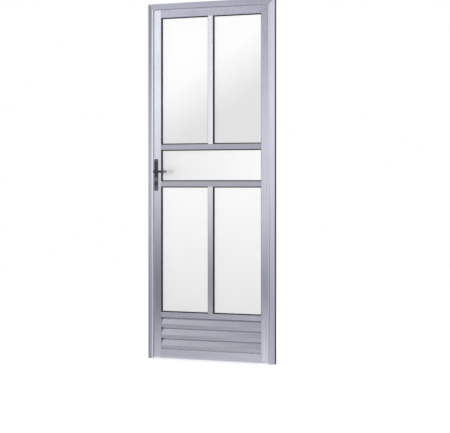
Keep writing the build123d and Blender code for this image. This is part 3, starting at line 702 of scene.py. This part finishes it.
# Glazing beads and louvre channels
# Snap-in aluminium angles round the back of each pane, and plain dull channels that hold the slats at
# both ends, coloured near-black as painted shade for the reveals beside the slats.
bead_metal = drawn_metal(
    "bead_metal", "", (0.75, 0.765, 0.82), (0.66, 0.67, 0.73), roughness=0.20, grain=0.0, streak_width=0.6
)
channel_painted_shade = drawn_metal(
    "channel_painted_shade", "Z", (0.26, 0.26, 0.29), (0.20, 0.20, 0.23), roughness=0.40, grain=0.3, streak_width=3.0
)
finish_nodes(bead_metal, "upper_glazing_beads", "middle_glazing_beads", "lower_glazing_beads")
finish_nodes(channel_painted_shade, "louvre_channels")

# Louvre slats
# Three blades bent from aluminium sheet with a satin face, each with an upright lip in front, slipped
# into the side channels. Their colour is darker than the bars' as painted shade.
slat_painted_shade = drawn_metal(
    "slat_painted_shade", "X", (0.61, 0.615, 0.655), (0.54, 0.545, 0.585), roughness=0.14, grain=0.45,
    dust=0.12, relief=0.0004,
)
finish_nodes(slat_painted_shade, "top_slat", "middle_slat", "bottom_slat")

# Louvre sill strip
# A thin aluminium angle that stands on the bottom rail behind the lowest slat's lip, to turn the rain.
# The channels hold its ends.


def bar_along_x(outline, start_x, end_x):
    """An outline of (y, z) points carried straight from one x to the other, closed at both ends. The
    outline runs anticlockwise as seen from +X."""
    ring = np.array(outline, float)
    count = len(ring)
    rows = np.stack([np.column_stack((np.full(count, x), ring)) for x in (start_x, end_x)])
    faces = skin_faces(2, count, False, True)[:, ::-1].tolist()
    return rows, faces + [list(range(count))[::-1], list(range(count, 2 * count))]


sill_sheet = 0.0011
sill_foot = 0.0463
sill_top = 0.0675
sill_front = 0.0002
sill_back = 0.009
sill_play = 0.0004
sill_rounding = 0.00025
sill_inside = (sill_front + sill_sheet, sill_foot + sill_sheet)
sill_outline = [
    (sill_front, sill_foot), (sill_back, sill_foot), (sill_back, sill_inside[1]),
    sill_inside, (sill_inside[0], sill_top), (sill_front, sill_top),
]
slat_low, slat_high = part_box("bottom_slat")
# The sill takes the slats' darker colour of painted shade
sill_bar = bar_along_x(sill_outline, slat_low[0] + sill_play, slat_high[0] - sill_play)
sill = mesh_piece("louvre_sill", *sill_bar, slat_painted_shade, smooth=False)
sill_edges = sill.modifiers.new("rounded_edges", "BEVEL")
sill_edges.width = sill_rounding
sill_edges.segments = 2
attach(sill, "leaf")

# Panes
# Cast glass 4 mm thick with a small even grain that blurs what stands behind it. Each pane's colour
# darkens towards one side as painted shade, and its blur grows a little there.
cast_grain, given, result = new_effect(
    "cast_grain", [("Position", "Vector", (0, 0, 0))], [("Height", "Float")]
)
cells = texture(
    cast_grain, "Voronoi", (-900, 100), given["Position"], feature="SMOOTH_F1", Scale=330.0, Smoothness=0.6
)
ripple = texture(cast_grain, "Noise", (-900, -200), given["Position"], Scale=900.0, Detail=2.0)
ripple_share = 0.3
grain_height = maths(
    cast_grain, "MULTIPLY_ADD", ripple.outputs["Fac"], ripple_share, cells.outputs["Distance"]
)
cast_grain.links.new(grain_height, result["Height"])
run_inputs = [
    ("Position", "Vector", (0, 0, 0)),
    ("Along", "Vector", (0, 0, 1)),
    ("Start", "Float", 0.0),
    ("End", "Float", 1.0),
]


def share_of_run(tree, given):
    """Where a group's Position lies between Start, 0, and End, 1, along its direction."""
    spot = node(tree, "ShaderNodeVectorMath", (-1100, 0), operation="DOT_PRODUCT")
    tree.links.new(given["Position"], spot.inputs[0])
    tree.links.new(given["Along"], spot.inputs[1])
    from_start = maths(tree, "SUBTRACT", spot.outputs["Value"], given["Start"], place=(-900, 0))
    length = maths(tree, "SUBTRACT", given["End"], given["Start"], place=(-900, -150))
    return maths(tree, "DIVIDE", from_start, length, place=(-700, 0))


pane_painted_shade, given, result = new_effect(
    "pane_painted_shade",
    run_inputs + [("Dusty", "Color", (0.8, 0.8, 0.8, 1)), ("Clean", "Color", (1, 1, 1, 1))],
    [("Color", "Color"), ("Roughness", "Float")],
)
shade_sway = 0.2
shade_cloud = texture(pane_painted_shade, "Noise", (-1100, -300), given["Position"], Scale=7.0, Detail=4.0)
shade_edge = maths(pane_painted_shade, "MULTIPLY_ADD", shade_cloud.outputs["Fac"], shade_sway, -shade_sway / 2)
shade_run = maths(pane_painted_shade, "ADD", share_of_run(pane_painted_shade, given), shade_edge, clamp=True)
shaded_side_blur, unshaded_side_blur = 0.60, 0.54
pane_blur = maths(pane_painted_shade, "MULTIPLY_ADD", shade_run, unshaded_side_blur - shaded_side_blur, shaded_side_blur)
# The pane's colour runs from the shaded tint at Start to the unshaded one at End: painted shade
pane_shade_colour = blend_colours(pane_painted_shade, given["Dusty"], given["Clean"], shade_run, (300, 0))
pane_painted_shade.links.new(pane_shade_colour, result["Color"])
pane_painted_shade.links.new(pane_blur, result["Roughness"])


def cast_glass(name, along, start, end, shaded_tint, unshaded_tint):
    """Cast glass whose painted shade, with a little extra blur, fades from start to end along a direction."""
    material, tree, shader, position = bare_material(name, IOR=1.5, Transmission_Weight=1.0)
    dust_and_shade_layer = placed_effect(
        tree, pane_painted_shade, (-900, 200), position,
        Along=along, Start=start, End=end, Dusty=(*shaded_tint, 1), Clean=(*unshaded_tint, 1),
    )
    grain = placed_effect(tree, cast_grain, (-900, -200), position)
    feed_surface(
        tree, shader, dust_and_shade_layer.outputs["Color"], dust_and_shade_layer.outputs["Roughness"], grain.outputs["Height"],
        strength=0.2, distance=0.0005,
    )
    return material


unshaded_glass = (1.0, 1.0, 1.0)
upper_lean = (-0.5, 0, 0.87)
upper_shade_run = (1.43, 1.72)
middle_low, middle_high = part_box("middle_pane")
lower_low, lower_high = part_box("lower_left_pane")
upper_glass = cast_glass("upper_glass", upper_lean, *upper_shade_run, (0.80, 0.80, 0.805), unshaded_glass)
middle_glass = cast_glass(
    "middle_glass", (1, 0, 0), middle_low[0], middle_high[0], (0.86, 0.86, 0.865), unshaded_glass
)
lower_glass = cast_glass("lower_glass", (0, 0, 1), lower_low[2], lower_high[2], (0.84, 0.84, 0.845), unshaded_glass)
finish_nodes(upper_glass, "upper_left_pane", "upper_right_pane")
finish_nodes(middle_glass, "middle_pane")
finish_nodes(lower_glass, "lower_left_pane", "lower_right_pane")

# Mortise lock
# Steel case in the latch stile, of which only the brushed forend shows, with two screws and the faces
# of the latch bolt, bevelled, and of the dead bolt, both drawn in.


def closed_skin(front, back):
    """Two grids of points, one behind the other, joined round their four edges into one closed skin.
    The step from column to column crossed with the step from row to row points outwards in front."""
    rows, columns = front.shape[:2]
    count = rows * columns
    index = np.arange(count).reshape(rows, columns)
    front_faces = skin_faces(rows, columns, False, False)
    rim = np.concatenate((index[0, :-1], index[:-1, -1], index[-1, :0:-1], index[:0:-1, 0]))
    after = np.roll(rim, -1)
    walls = np.stack((after, rim, rim + count, after + count), axis=-1)
    points = np.concatenate((front.reshape(-1, 3), back.reshape(-1, 3)))
    return points, np.concatenate((front_faces, front_faces[:, ::-1] + count, walls)).tolist()


forend_x = leaf_latch_x
forend_middle_y = 0.0025
forend_screw_heights = (0.9845, 1.1585)
latch_bolt_height = 1.1125
dead_bolt_height = 1.036
bolt_half_width = 0.0051
bolt_half_height = 0.0106
bolt_floor = 0.001
bolt_sheet = 0.0002
bolt_edge = 0.55
bolt_columns, bolt_rows = 17, 25


def bolt_face(name, height, rise_at_front, rise_at_back):
    """A bolt's end: over its width s and height t, both from -1 to 1, it rises above the recess's floor
    by a straight slope from front to back, times edge + (1 - edge) * (1 - s ** 8) * (1 - t ** 8)."""
    s, t = np.meshgrid(np.linspace(-1, 1, bolt_columns), np.linspace(-1, 1, bolt_rows))
    slope = rise_at_front + (rise_at_back - rise_at_front) * (s + 1) / 2
    out = slope * (bolt_edge + (1 - bolt_edge) * (1 - s**8) * (1 - t**8))
    y = forend_middle_y - s * bolt_half_width
    z = height + t * bolt_half_height
    front = np.stack((forend_x + bolt_floor - out, y, z), axis=-1)
    back = np.stack((np.full_like(y, forend_x + bolt_floor + bolt_sheet), y, z), axis=-1)
    made = mesh_piece(name, *closed_skin(front, back), bolt_metal)
    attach(made, "leaf")


bolt_metal = drawn_metal(
    "bolt_metal", "Z", (0.66, 0.64, 0.58), (0.50, 0.48, 0.44), roughness=0.22, grain=0.3, streak_width=10.0
)
bolt_face("latch_bolt_face", latch_bolt_height, rise_at_front=0.00085, rise_at_back=0.0003)
bolt_face("dead_bolt_face", dead_bolt_height, rise_at_front=0.0007, rise_at_back=0.0007)
screws(
    "forend_screws", [(forend_x, forend_middle_y, z) for z in forend_screw_heights], (-1, 0, 0),
    radius=0.0032, dome=0.0003, body="leaf", material=screw_steel, turn=0.9,
)

# Hinges
# Three butt hinges of satin anodised aluminium, with rolled knuckles and steel pins. Three countersunk
# screws hold each hinge leaf to the back of the frame or of the stile.
hinge_metal = drawn_metal(
    "hinge_metal", "Z", (0.72, 0.73, 0.77), (0.62, 0.63, 0.67), roughness=0.32, grain=0.3, streak_width=3.0
)
finish_nodes(hinge_metal, "frame_hinge_leaves", "door_hinge_leaves")
finish_nodes(brushed_steel, "hinge_pins")
hinge_heights = (0.25, 1.05, 1.85)
hinge_screw_spread = (-0.028, 0.0, 0.028)
hinge_face_y = 0.0175
frame_leaf_x = -0.0108
door_leaf_x = -0.0455
for name, middle_x, body in (
    ("frame_hinge_screws", frame_leaf_x, "frame"),
    ("leaf_hinge_screws", door_leaf_x, "leaf"),
):
    heights = [middle + step for middle in hinge_heights for step in hinge_screw_spread]
    screws(
        name, [(middle_x, hinge_face_y, z) for z in heights], (0, 1, 0),
        radius=0.0037, dome=0.0006, body=body, material=screw_steel, turn=0.3,
    )

# Handle plates and levers
# Cast zinc with a dark grey powder coat: a long crowned plate and a lever on each face. The coat is
# lightly orange-peeled, and paler and smoother where hands and keys rub it. Painted highlights pale it
# further at the plates' ends and rims and at the levers' tips.
wear_highlight_run, given, result = new_effect("coat_wear_and_highlight", run_inputs, [("Run", "Float"), ("Mottle", "Float")])
wear_highlight_noise = texture(wear_highlight_run, "Noise", (-1000, -250), given["Position"], Scale=160.0, Detail=4.0)
wear_highlight_mottle = ramp(wear_highlight_run, wear_highlight_noise.outputs["Fac"], [(0.3, 0.55), (0.65, 1.0)], (-500, -250))
wear_highlight_run.links.new(share_of_run(wear_highlight_run, given), result["Run"])
wear_highlight_run.links.new(wear_highlight_mottle, result["Mottle"])
coat_fleck = [(0.35, (0.016, 0.015, 0.021)), (0.7, (0.026, 0.025, 0.034))]
worn_and_highlight_coat = (0.22, 0.22, 0.25)
fresh_roughness, worn_roughness = 0.38, 0.24
rim_highlight_width = 0.0035
rim_highlight = 0.8


def dark_coat(name, along, start, end, wear_and_highlight_stops, highlight_rims=None):
    """Dark powder coat, paler and smoother by an amount that the stops give from start to end, standing
    for both wear and painted highlights, and with a painted highlight along two upright rims given by
    their x."""
    material, tree, shader, position = bare_material(name, Coat_Weight=0.25, Coat_Roughness=0.2)
    wear_highlight_share = placed_effect(tree, wear_highlight_run, (-1000, 200), position, Along=along, Start=start, End=end)
    amount = ramp(tree, wear_highlight_share.outputs["Run"], wear_and_highlight_stops, (-750, 200))
    if highlight_rims:
        rim = placed_effect(
            tree, joint_and_highlight_band, (-1000, 500), position,
            First_Offset=highlight_rims[0], Second_Offset=highlight_rims[1], Width=rim_highlight_width,
        )
        amount = maths(tree, "MAXIMUM", amount, maths(tree, "MULTIPLY", rim.outputs["Mask"], rim_highlight))
    amount = maths(tree, "MULTIPLY", amount, wear_highlight_share.outputs["Mottle"], place=(-450, 200))
    peel = texture(tree, "Noise", (-1000, -200), position, Scale=900.0, Detail=2.0)
    colour = ramp(tree, peel.outputs["Fac"], coat_fleck, (-700, -200))
    colour = blend_colours(tree, colour, worn_and_highlight_coat, amount, (-250, 100))
    rough = maths(tree, "MULTIPLY_ADD", amount, worn_roughness - fresh_roughness, fresh_roughness)
    feed_surface(tree, shader, colour, rough, peel.outputs["Fac"], strength=0.15, distance=0.0003)
    return material


handle_x = -0.7475
outer_face_y = -0.017
inner_face_y = 0.022

# Wear and painted highlights from the foot of a plate to its top, and from the neck of a lever to its
# tip: the plates' pale ends and the levers' pale tips are painted highlights
plate_wear_and_highlight = [
    (0.0, 0.85), (0.06, 0.5), (0.16, 0.30), (0.23, 0.12), (0.29, 0.35), (0.345, 0.75), (0.385, 0.75),
    (0.44, 0.06), (0.90, 0.05), (0.96, 0.45), (1.0, 0.8),
]
lever_wear_and_highlight = [(0.0, 0.02), (0.55, 0.05), (0.78, 0.2), (0.9, 0.75), (1.0, 1.0)]
plate_low, plate_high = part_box("outer_handle_plate")
lever_low, lever_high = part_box("outer_lever")
plate_highlight_rims = (plate_low[0], plate_high[0])
plate_coat = dark_coat("plate_coat", (0, 0, 1), plate_low[2], plate_high[2], plate_wear_and_highlight, plate_highlight_rims)
lever_coat = dark_coat("lever_coat", (1, 0, 0), lever_low[0], lever_high[0], lever_wear_and_highlight)
finish_nodes(plate_coat, "outer_handle_plate", "inner_handle_plate")
finish_nodes(lever_coat, "outer_lever", "inner_lever")

# Lever rings
# A soft black bush, pressed into each plate's bore to keep the lever from rattling, shows as a thin
# ring round the lever's neck.
ring_inner = 0.0083
ring_width = 0.0014
ring_rise = 0.0006
ring_steps, ring_sides = 48, 12
spindle_height = 1.107

# Angle a runs round the lever and b round the ring's own section: its radius is inner + width / 2 *
# (1 + cos b), and it stands rise * sin b above the plate
around, across_ring = np.meshgrid(
    np.linspace(0, 2 * np.pi, ring_steps, endpoint=False),
    np.linspace(0, 2 * np.pi, ring_sides, endpoint=False),
    indexing="ij",
)
ring_radius = ring_inner + ring_width / 2 * (1 + np.cos(across_ring))
ring_lift = ring_rise * np.sin(across_ring)
for name, front_y, outward_y in (("outer_bush_ring", outer_face_y, -1), ("inner_bush_ring", inner_face_y, 1)):
    ring_x = handle_x - outward_y * ring_radius * np.cos(around)
    ring_z = spindle_height + ring_radius * np.sin(around)
    ring = np.stack((ring_x, front_y + outward_y * ring_lift, ring_z), axis=-1)
    bush = mesh_piece(name, ring, skin_faces(ring_steps, ring_sides, True, True).tolist(), rubber)
    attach(bush, "leaf")

# Plate screws
# Two steel machine screws in the plates' own coat, driven from the inner side, clamp both plates
# through the stile.
plate_screw_heights = (1.006, 1.168)
screw_coat = dark_coat("screw_coat", (0, 0, 1), start=0.9, end=1.3, wear_and_highlight_stops=[(0.0, 0.3), (1.0, 0.5)])
screws(
    "plate_screws", [(handle_x, inner_face_y, z) for z in plate_screw_heights], (0, 1, 0),
    radius=0.0034, dome=0.0006, body="leaf", material=screw_coat, turn=0.2,
)

# Key cylinder
# Dark bronze-toned brass through the stile and both plates, faced on a lathe, with a turned plug at
# each end. On each plug, a near-black oblong of painted shade stands for the keyway's slot.
cylinder_height = 1.036
bronze_tones = [(0.0, (0.055, 0.050, 0.046)), (1.0, (0.11, 0.10, 0.09))]
bronze, bronze_tree, bronze_shader, bronze_position = bare_material("turned_bronze", Metallic=1.0)
bronze_axis = node(bronze_tree, "ShaderNodeMapping", (-1100, 0), Location=(-handle_x, 0, -cylinder_height))
bronze_tree.links.new(bronze_position, bronze_axis.inputs["Vector"])
bronze_rings = texture(
    bronze_tree, "Wave", (-850, 0), bronze_axis.outputs[0],
    wave_type="RINGS", rings_direction="Y", Scale=900.0, Distortion=1.5, Detail=2.0,
)
bronze_colour = ramp(bronze_tree, bronze_rings.outputs["Fac"], bronze_tones, (-600, 0))
bronze_rough = ramp(bronze_tree, bronze_rings.outputs["Fac"], [(0.0, 0.30), (1.0, 0.20)], (-600, -300))
feed_surface(
    bronze_tree, bronze_shader, bronze_colour, bronze_rough, bronze_rings.outputs["Fac"],
    strength=0.2, distance=0.0001,
)
finish_nodes(bronze, "key_cylinder")
cylinder_low, cylinder_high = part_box("key_cylinder")
plug_profile = [
    (0.0, -0.0003), (0.0058, -0.0003), (0.0060, 0.0), (0.0059, 0.0003), (0.0054, 0.0005), (0.0048, 0.00045),
    (0.0030, 0.00045), (0.0, 0.00045),
]
keyway_half_width = 0.0009
keyway_half_height = 0.0036
keyway_face, keyway_back = 0.00052, 0.00030
# The keyway is a thin near-black oblong laid on the plug: painted shade where its slot would be
keyway_shade_tones = [(0.3, (0.004, 0.004, 0.004)), (0.7, (0.02, 0.018, 0.015))]
keyway_material, keyway_tree, keyway_shader, keyway_position = bare_material("keyway_painted_shade", Roughness=0.7)
keyway_shade_noise = texture(keyway_tree, "Noise", (-900, 0), keyway_position, Scale=800.0, Detail=3.0)
keyway_colour = ramp(keyway_tree, keyway_shade_noise.outputs["Fac"], keyway_shade_tones, (-600, 0))
keyway_tree.links.new(keyway_colour, keyway_shader.inputs["Base Color"])

# The keyway is an oblong: s across and t along it run from -1 to 1, and its half width is multiplied
# by end + (1 - end) * (1 - t ** 6), so that it narrows to the share called end
keyway_end = 0.35
keyway_columns, keyway_rows = 5, 17
s, t = np.meshgrid(np.linspace(-1, 1, keyway_columns), np.linspace(-1, 1, keyway_rows))
keyway_across = s * keyway_half_width * (keyway_end + (1 - keyway_end) * (1 - t**6))
keyway_z = cylinder_height + t * keyway_half_height
for name, face_y, outward_y in (("outer", cylinder_low[1], -1), ("inner", cylinder_high[1], 1)):
    plug_form = turned(plug_profile, [(handle_x, face_y, cylinder_height)], (0, outward_y, 0))
    plug = mesh_piece(name + "_key_plug", *plug_form, bronze)
    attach(plug, "leaf")
    keyway_x = handle_x - outward_y * keyway_across
    keyway_in_front, keyway_behind = (
        np.stack((keyway_x, np.full_like(keyway_x, face_y + outward_y * lift), keyway_z), axis=-1)
        for lift in (keyway_face, keyway_back)
    )
    keyway_form = closed_skin(keyway_in_front, keyway_behind)
    keyway = mesh_piece(name + "_keyway", *keyway_form, keyway_material, smooth=False)
    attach(keyway, "leaf")
